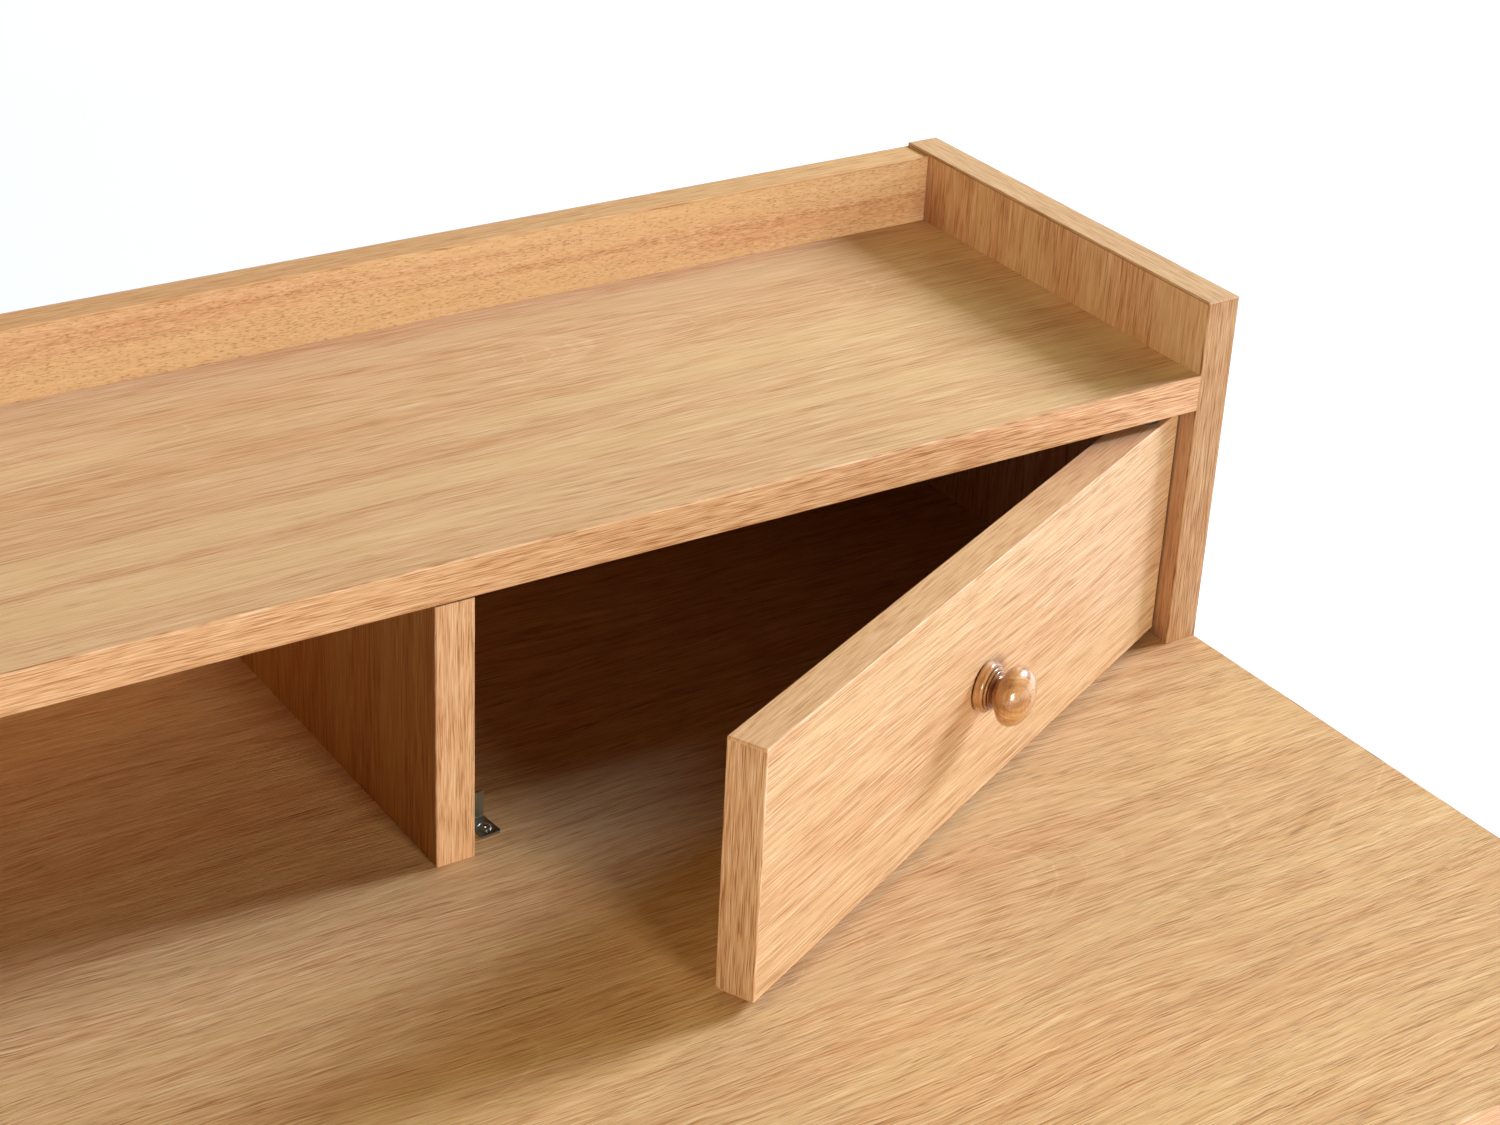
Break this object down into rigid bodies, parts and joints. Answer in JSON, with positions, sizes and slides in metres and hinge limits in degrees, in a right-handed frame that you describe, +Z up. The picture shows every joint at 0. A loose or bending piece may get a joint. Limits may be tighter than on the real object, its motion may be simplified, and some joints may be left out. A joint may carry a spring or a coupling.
{
  "type": "desk top hutch",
  "caption": "Oak-finish desk top with a low rear hutch: open bay, shelf, raised back and a cupboard bay whose door turns on pivot pins.",
  "frame": {"origin": "middle of the desk top's underside", "axes": "+X along the desk to the cupboard end, +Y to the back, +Z up"},
  "size_m": [0.8008, 0.48, 0.1645],
  "materials": {
    "oak_board": "satin oak-grain laminate",
    "oak_band": "satin oak-grain edge band",
    "knob_wood": "clear gloss lacquer",
    "dowel_wood": "raw beech",
    "zinc": "zinc plated",
    "pin_steel": "bright",
    "nylon": "dark grey nylon",
    "brass": "plain",
    "magnet": "nickel plated",
    "cap": "oak-coloured plastic"
  },
  "bodies": {
    "carcass": {"desk_top_board": "oak_board", "desk_top_front_band": "oak_band", "desk_top_back_band": "oak_band", "desk_top_left_band": "oak_band", "desk_top_right_band": "oak_band", "shelf_board": "oak_board", "shelf_front_band": "oak_band", "back_board": "oak_board", "back_board_top_band": "oak_band", "divider_board": "oak_board", "divider_front_band": "oak_band", "right_side_board": "oak_board", "right_side_top_band": "oak_band", "right_side_front_band": "oak_band", "right_side_back_band": "oak_band", "left_side_board": "oak_board", "left_side_top_band": "oak_band", "left_side_front_band": "oak_band", "left_side_back_band": "oak_band", "foot_pivot_pin": "pin_steel", "head_pivot_pin": "pin_steel", "door_stop_angle": "zinc", "door_stop_screw": "zinc", "base_screws": "zinc", "side_screws": "zinc", "side_screw_caps": "cap", "dowels": "dowel_wood", "leg_inserts": "zinc"},
    "door": {"door_board": "oak_board", "door_top_band": "oak_band", "door_foot_band": "oak_band", "door_free_band": "oak_band", "door_hinge_band": "oak_band", "door_foot_bush": "nylon", "door_head_bush": "nylon", "door_magnet": "magnet", "knob": "knob_wood", "knob_insert": "brass", "knob_screw": "zinc"}
  },
  "joints": [
    {"name": "door_hinge", "type": "hinge", "parent": "carcass", "child": "door", "pos_m": [0.3675, 0.051, 0.015], "axis": [0, 0, 1], "range_deg": [-25.4, 94.6]}
  ]
}
